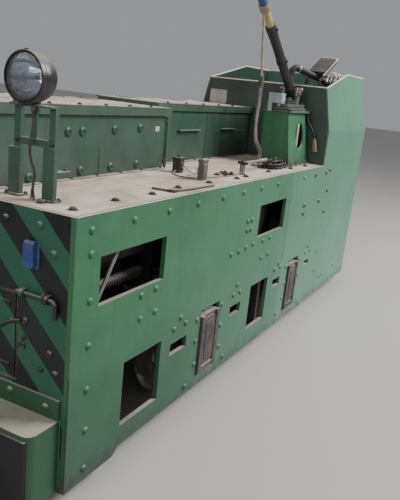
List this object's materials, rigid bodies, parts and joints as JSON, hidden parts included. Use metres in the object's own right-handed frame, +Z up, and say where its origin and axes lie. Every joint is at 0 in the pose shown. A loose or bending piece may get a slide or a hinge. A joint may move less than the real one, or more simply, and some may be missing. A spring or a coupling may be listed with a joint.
{
  "type": "narrow-gauge electric mine locomotive",
  "caption": "Narrow-gauge electric mine locomotive with hoods along one side of the deck, an open-topped cab and a pole collector.",
  "frame": {"origin": "on the floor under the middle of the whole vehicle", "axes": "+X towards the front end, +Y to the vehicle's left, +Z up"},
  "size_m": [4.22, 1.024, 2.3182],
  "materials": {
    "body_green": "brushed-on green paint, dusty and chipped",
    "front_stripes": "green paint with dark slanting stripes, dusty",
    "lid_green": "green paint under pale dust",
    "deck_dusty": "paint worn to steel under pale dust",
    "frame_black": "black paint, dusty",
    "socket_blue": "moulded blue plastic, faded",
    "seat_vinyl": "worn black vinyl",
    "controller_grey": "grey painted casting",
    "coupler_iron": "rusty casting",
    "axle_steel": "turned steel, dull",
    "wheel_steel": "rusty rolled steel, bright tread",
    "axlebox_iron": "dusty casting, purple brown",
    "spring_steel": "rusty spring steel",
    "motor_iron": "greasy black casting",
    "resistor_rust": "rusty wire and strip",
    "lamp_black": "black enamel",
    "lamp_glass": "clear ribbed glass, dusty",
    "base_grey": "grey paint, dusty",
    "pole_black": "black paint, dusty",
    "pole_wood": "varnished ash, dirty",
    "shoe_steel": "worn casting",
    "rest_grey": "bare steel, dull",
    "switch_black": "black moulded casing",
    "block_grey": "grey casting",
    "arm_black": "black ribbed duct, dusty",
    "cable_sheath": "pale and red cable sheath",
    "lamp_lead": "dark rubber sheath",
    "box_grey": "pale grey paint, dusty"
  },
  "bodies": {
    "root": {"side_plate_left": "body_green", "side_plate_right": "body_green", "front_plate": "front_stripes", "hatch_bolt": "rest_grey", "front_socket": "socket_blue", "deck_plate": "deck_dusty", "stretchers": "frame_black", "cab_side_left": "body_green", "cab_side_right": "body_green", "cab_front_wall": "body_green", "rear_wall": "body_green", "cab_floor": "deck_dusty", "driver_seat": "frame_black", "seat_cushion": "seat_vinyl", "controller": "controller_grey", "brake_column": "frame_black", "front_hood": "body_green", "rear_hood": "body_green", "front_beam": "body_green", "rear_beam": "body_green", "front_coupler": "coupler_iron", "rear_coupler": "coupler_iron", "axleboxes": "axlebox_iron", "axle_springs": "spring_steel", "motors": "motor_iron", "brake_gear": "coupler_iron", "resistor_plates": "frame_black", "resistor_tubes": "resistor_rust", "contactor_box": "frame_black", "headlight_bracket": "body_green", "headlight": "lamp_black", "headlight_glass": "lamp_glass", "collector_pedestal": "body_green", "collector_base": "base_grey", "pole_rest": "rest_grey", "switch_box": "switch_black", "deck_block": "block_grey", "sand_lever": "rest_grey", "cable_arm": "arm_black", "cable_tray": "frame_black", "cab_cable": "cable_sheath", "lamp_cable": "lamp_lead", "instrument_frame": "frame_black", "terminal_box": "box_grey"},
    "front_wheelset": {"front_axle": "axle_steel", "front_wheels": "wheel_steel"},
    "rear_wheelset": {"rear_axle": "axle_steel", "rear_wheels": "wheel_steel"},
    "front_lid": {"front_hood_lid": "lid_green"},
    "rear_lid": {"rear_hood_lid": "lid_green"},
    "hatch": {"front_hatch": "front_stripes"},
    "door": {"rear_door": "body_green"},
    "pole": {"pole_socket": "pole_black", "pole_wood": "pole_wood", "pole_shoe": "shoe_steel"}
  },
  "joints": [
    {"name": "front_wheelset_spin", "type": "hinge", "parent": "root", "child": "front_wheelset", "pos_m": [0.775, 0, 0.322], "axis": [0, 1, 0], "continuous": true},
    {"name": "rear_wheelset_spin", "type": "hinge", "parent": "root", "child": "rear_wheelset", "pos_m": [-0.428, 0, 0.322], "axis": [0, 1, 0], "continuous": true},
    {"name": "front_lid_hinge", "type": "hinge", "parent": "root", "child": "front_lid", "pos_m": [1.14, -0.478, 1.396], "axis": [1, 0, 0], "range_deg": [0, 95]},
    {"name": "rear_lid_hinge", "type": "hinge", "parent": "root", "child": "rear_lid", "pos_m": [-0.16, -0.478, 1.416], "axis": [1, 0, 0], "range_deg": [0, 95]},
    {"name": "front_hatch_hinge", "type": "hinge", "parent": "root", "child": "hatch", "pos_m": [1.852, -0.269, 0.622], "axis": [0, 0, -1], "range_deg": [0, 110]},
    {"name": "rear_door_hinge", "type": "hinge", "parent": "root", "child": "door", "pos_m": [-1.852, 0.399, 1.142], "axis": [0, 0, -1], "range_deg": [0, 100]},
    {"name": "pole_tilt", "type": "hinge", "parent": "root", "child": "pole", "pos_m": [-0.62, 0.26, 1.547], "axis": [0, -1, 0], "range_deg": [-22, 44]}
  ]
}
